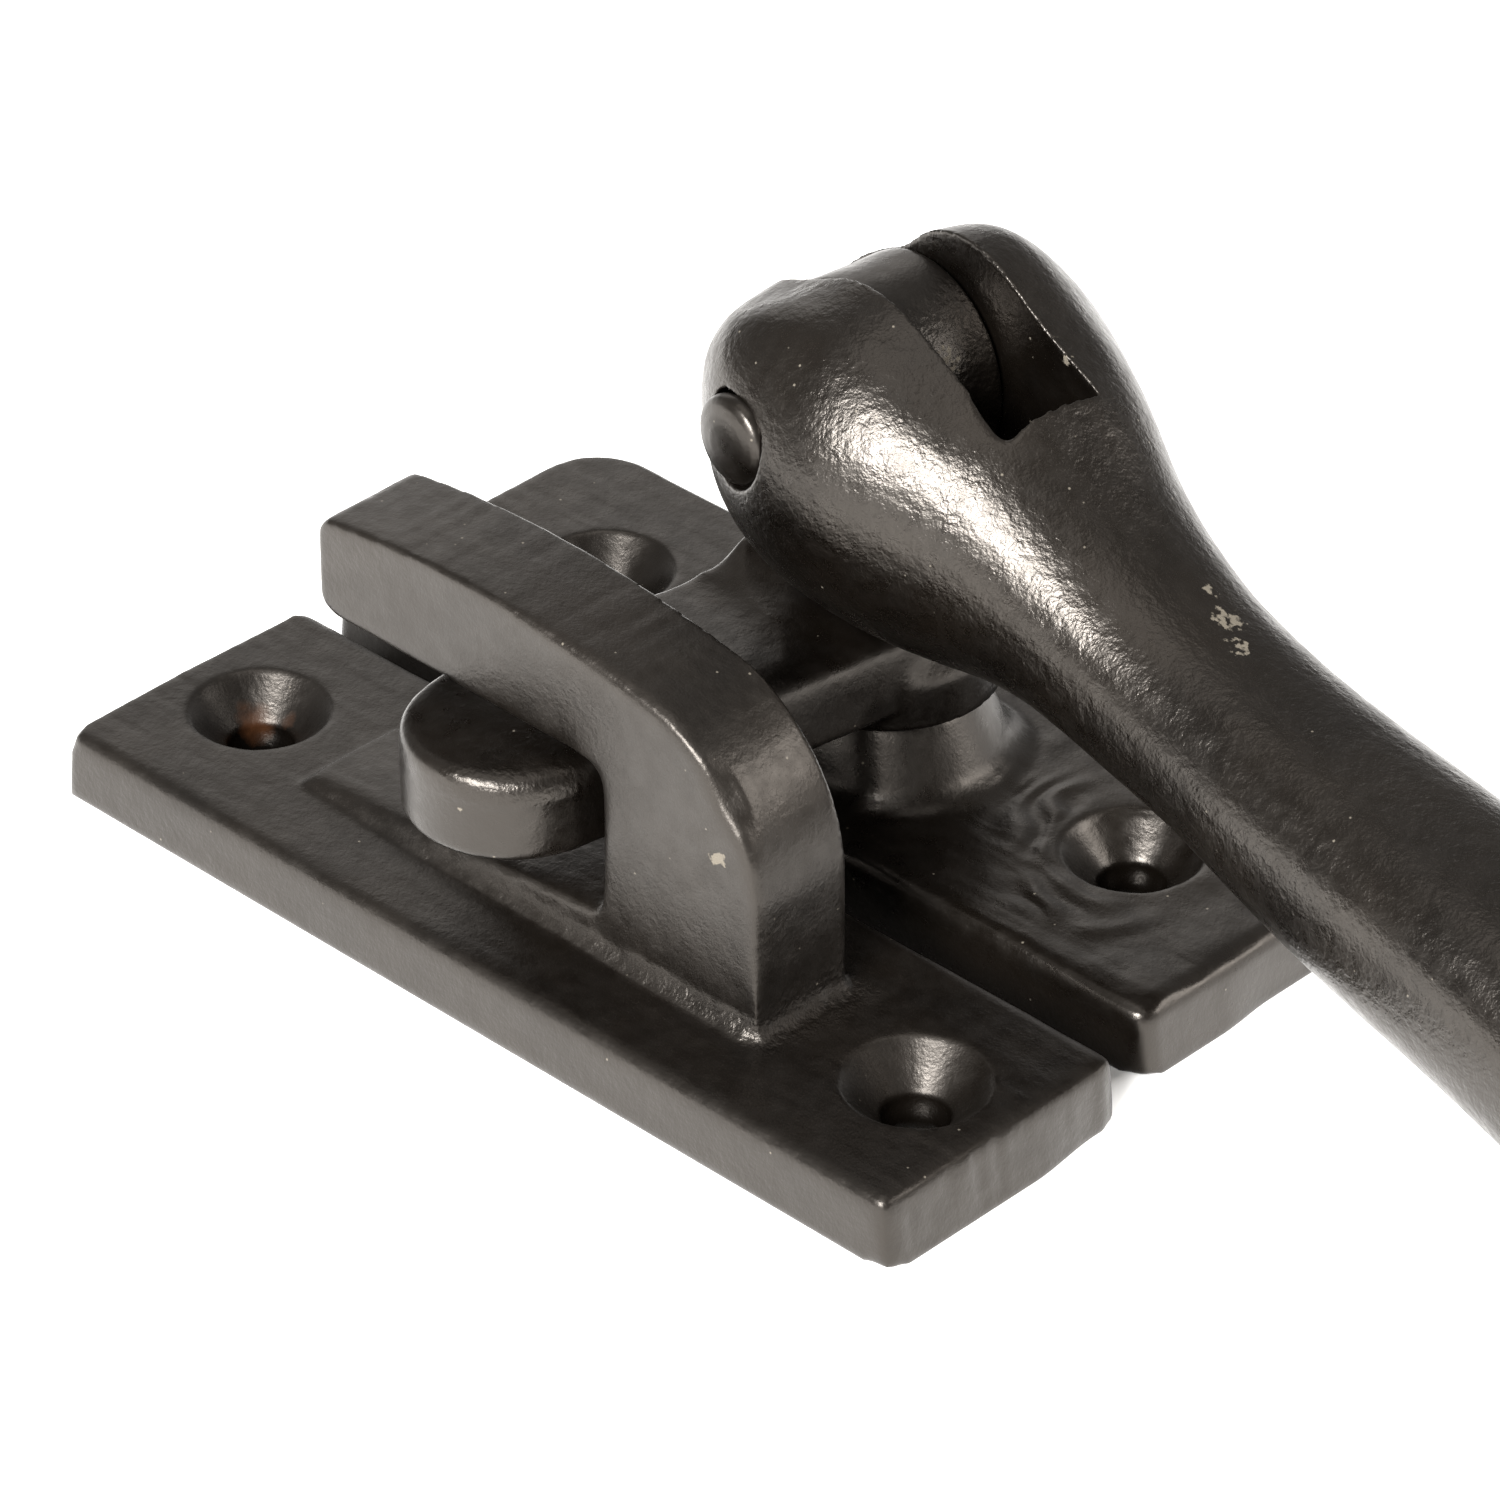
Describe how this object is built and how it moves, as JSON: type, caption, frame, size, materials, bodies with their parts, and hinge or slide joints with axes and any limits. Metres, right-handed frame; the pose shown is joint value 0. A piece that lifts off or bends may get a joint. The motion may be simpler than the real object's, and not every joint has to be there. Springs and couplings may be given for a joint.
{
  "type": "casement window fastener",
  "caption": "Black cast-iron casement fastener: a forked lever handle riveted to a swivelling nose on a screw plate, its tongue held under a hook on a second plate.",
  "frame": {"origin": "centre of the mounting plate's two screw holes, on the plane that both plates are screwed to", "axes": "+X along the plates towards the handle, +Y from the hook plate to the mounting plate, +Z away from the mounting surface"},
  "size_m": [0.1385, 0.0416, 0.0348],
  "materials": {
    "hook_plate_iron": "satin black paint over a pitted casting",
    "mounting_plate_iron": "satin black paint over a pitted casting",
    "nose_iron": "satin black paint over a pitted casting",
    "handle_iron": "satin black paint over a pitted casting",
    "rivet_steel": "glossy black paint",
    "washer_steel": "plain steel"
  },
  "bodies": {
    "casement_plate": {"mounting_plate": "mounting_plate_iron", "spring_washer": "washer_steel"},
    "frame_plate": {"hook_plate": "hook_plate_iron"},
    "nose": {"nose_piece": "nose_iron", "retaining_washer": "washer_steel"},
    "lever": {"handle": "handle_iron", "fork_rivet": "rivet_steel"}
  },
  "joints": [
    {"name": "nose_turn", "type": "hinge", "parent": "casement_plate", "child": "nose", "pos_m": [0.003, -0.0015, 0], "axis": [0, 0, 1], "range_deg": [-34, 0]},
    {"name": "handle_flip", "type": "hinge", "parent": "nose", "child": "lever", "pos_m": [0.003, -0.0015, 0.02679], "axis": [-0.1132, -0.9936, 0], "range_deg": [0, 195]},
    {"name": "hook_plate_parting", "type": "slide", "parent": "casement_plate", "child": "frame_plate", "axis": [0, -1, 0], "range_m": [0, 0.06]}
  ]
}
